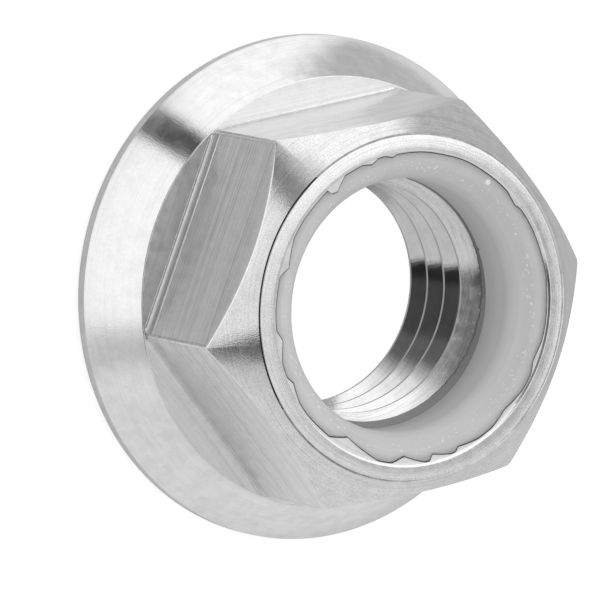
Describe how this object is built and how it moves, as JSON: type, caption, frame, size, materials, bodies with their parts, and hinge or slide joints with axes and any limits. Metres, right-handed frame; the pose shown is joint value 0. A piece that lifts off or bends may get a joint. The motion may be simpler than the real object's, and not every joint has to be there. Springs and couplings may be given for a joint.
{
  "type": "flange lock nut",
  "caption": "Hexagon nut on a conical flange, with a right-hand metric thread and a nylon locking ring held by a crimped collar.",
  "frame": {"origin": "centre of the flange's bearing face", "axes": "+Z along the thread, from the bearing face to the crimped collar; +X through a corner of the hexagon"},
  "size_m": [0.019, 0.019, 0.0085],
  "materials": {
    "steel": "bright turned and milled",
    "nylon": "natural, satin"
  },
  "bodies": {
    "root": {"nut_body": "steel", "locking_ring": "nylon"}
  },
  "joints": []
}
